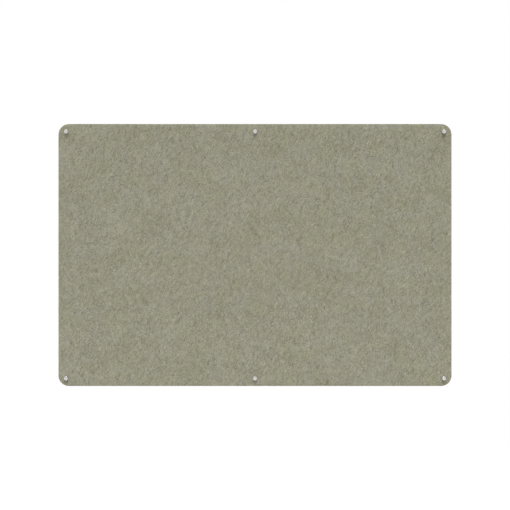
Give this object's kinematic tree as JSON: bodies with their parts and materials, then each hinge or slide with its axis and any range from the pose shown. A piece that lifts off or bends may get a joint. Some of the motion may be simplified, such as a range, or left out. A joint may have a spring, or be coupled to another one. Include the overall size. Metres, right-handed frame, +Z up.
{
  "type": "pinboard",
  "caption": "Frameless felt pinboard with rounded corners, held off the wall by round metal standoffs with caps that unscrew from the front.",
  "frame": {"origin": "middle of the board on the wall plane, on which the backs of the barrels rest", "axes": "+X to the right along the board's width as a person facing it sees it, +Z up, +Y into the wall; the pinning face looks along -Y"},
  "size_m": [1.2, 0.071, 0.8],
  "materials": {
    "felt": "matte",
    "cap_metal": "satin",
    "barrel_metal": "satin",
    "stud_steel": "satin",
    "screw_zinc": "satin",
    "washer_nylon": "matte",
    "plug_nylon": "matte"
  },
  "bodies": {
    "board": {"felt_panel": "felt", "back_washer_top_left": "washer_nylon", "back_washer_top_middle": "washer_nylon", "back_washer_top_right": "washer_nylon", "back_washer_bottom_left": "washer_nylon", "back_washer_bottom_middle": "washer_nylon", "back_washer_bottom_right": "washer_nylon", "barrel_top_left": "barrel_metal", "barrel_top_middle": "barrel_metal", "barrel_top_right": "barrel_metal", "barrel_bottom_left": "barrel_metal", "barrel_bottom_middle": "barrel_metal", "barrel_bottom_right": "barrel_metal", "wall_screw_top_left": "screw_zinc", "wall_screw_top_middle": "screw_zinc", "wall_screw_top_right": "screw_zinc", "wall_screw_bottom_left": "screw_zinc", "wall_screw_bottom_middle": "screw_zinc", "wall_screw_bottom_right": "screw_zinc", "wall_plug_top_left": "plug_nylon", "wall_plug_top_middle": "plug_nylon", "wall_plug_top_right": "plug_nylon", "wall_plug_bottom_left": "plug_nylon", "wall_plug_bottom_middle": "plug_nylon", "wall_plug_bottom_right": "plug_nylon"},
    "washer_top_left": {"front_washer_top_left": "washer_nylon"},
    "head_top_left": {"cap_top_left": "cap_metal", "stud_top_left": "stud_steel"},
    "washer_top_middle": {"front_washer_top_middle": "washer_nylon"},
    "head_top_middle": {"cap_top_middle": "cap_metal", "stud_top_middle": "stud_steel"},
    "washer_top_right": {"front_washer_top_right": "washer_nylon"},
    "head_top_right": {"cap_top_right": "cap_metal", "stud_top_right": "stud_steel"},
    "washer_bottom_left": {"front_washer_bottom_left": "washer_nylon"},
    "head_bottom_left": {"cap_bottom_left": "cap_metal", "stud_bottom_left": "stud_steel"},
    "washer_bottom_middle": {"front_washer_bottom_middle": "washer_nylon"},
    "head_bottom_middle": {"cap_bottom_middle": "cap_metal", "stud_bottom_middle": "stud_steel"},
    "washer_bottom_right": {"front_washer_bottom_right": "washer_nylon"},
    "head_bottom_right": {"cap_bottom_right": "cap_metal", "stud_bottom_right": "stud_steel"}
  },
  "joints": [
    {"name": "travel_top_left", "type": "slide", "parent": "board", "child": "washer_top_left", "axis": [0, -1, 0], "range_m": [0, 0.008]},
    {"name": "unscrew_top_left", "type": "hinge", "parent": "washer_top_left", "child": "head_top_left", "pos_m": [-0.576, -0.028, 0.376], "axis": [0, -1, 0], "range_deg": [0, 2880]},
    {"name": "travel_top_middle", "type": "slide", "parent": "board", "child": "washer_top_middle", "axis": [0, -1, 0], "range_m": [0, 0.008]},
    {"name": "unscrew_top_middle", "type": "hinge", "parent": "washer_top_middle", "child": "head_top_middle", "pos_m": [0, -0.028, 0.376], "axis": [0, -1, 0], "range_deg": [0, 2880]},
    {"name": "travel_top_right", "type": "slide", "parent": "board", "child": "washer_top_right", "axis": [0, -1, 0], "range_m": [0, 0.008]},
    {"name": "unscrew_top_right", "type": "hinge", "parent": "washer_top_right", "child": "head_top_right", "pos_m": [0.576, -0.028, 0.376], "axis": [0, -1, 0], "range_deg": [0, 2880]},
    {"name": "travel_bottom_left", "type": "slide", "parent": "board", "child": "washer_bottom_left", "axis": [0, -1, 0], "range_m": [0, 0.008]},
    {"name": "unscrew_bottom_left", "type": "hinge", "parent": "washer_bottom_left", "child": "head_bottom_left", "pos_m": [-0.576, -0.028, -0.376], "axis": [0, -1, 0], "range_deg": [0, 2880]},
    {"name": "travel_bottom_middle", "type": "slide", "parent": "board", "child": "washer_bottom_middle", "axis": [0, -1, 0], "range_m": [0, 0.008]},
    {"name": "unscrew_bottom_middle", "type": "hinge", "parent": "washer_bottom_middle", "child": "head_bottom_middle", "pos_m": [0, -0.028, -0.376], "axis": [0, -1, 0], "range_deg": [0, 2880]},
    {"name": "travel_bottom_right", "type": "slide", "parent": "board", "child": "washer_bottom_right", "axis": [0, -1, 0], "range_m": [0, 0.008]},
    {"name": "unscrew_bottom_right", "type": "hinge", "parent": "washer_bottom_right", "child": "head_bottom_right", "pos_m": [0.576, -0.028, -0.376], "axis": [0, -1, 0], "range_deg": [0, 2880]}
  ],
  "couplings": [
    {"joint": "unscrew_top_left", "follows": "travel_top_left", "rad_per_m": 6283.2},
    {"joint": "unscrew_top_middle", "follows": "travel_top_middle", "rad_per_m": 6283.2},
    {"joint": "unscrew_top_right", "follows": "travel_top_right", "rad_per_m": 6283.2},
    {"joint": "unscrew_bottom_left", "follows": "travel_bottom_left", "rad_per_m": 6283.2},
    {"joint": "unscrew_bottom_middle", "follows": "travel_bottom_middle", "rad_per_m": 6283.2},
    {"joint": "unscrew_bottom_right", "follows": "travel_bottom_right", "rad_per_m": 6283.2}
  ]
}
